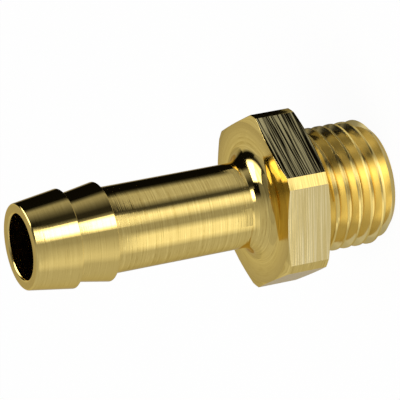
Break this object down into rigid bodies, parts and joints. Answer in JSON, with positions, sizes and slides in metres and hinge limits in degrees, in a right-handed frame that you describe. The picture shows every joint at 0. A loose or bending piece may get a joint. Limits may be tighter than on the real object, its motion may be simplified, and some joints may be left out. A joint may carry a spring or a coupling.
{
  "type": "hose barb tail",
  "caption": "Brass hose tail turned from hexagon bar: a barbed stem for a pushed-on hose above a hexagon and a male parallel pipe thread, bored right through.",
  "frame": {"origin": "middle of the flat end face of the threaded end, on the bore's axis", "axes": "+Z along the bore's axis from the threaded end towards the barbed tip; +X is square to one flat of the hexagon, and +Y runs through one of its corners"},
  "size_m": [0.017, 0.019, 0.04],
  "materials": {
    "brass": "bright machined, with fine turning marks and marks across the hexagon's flats"
  },
  "bodies": {
    "root": {"tail": "brass"}
  },
  "joints": []
}
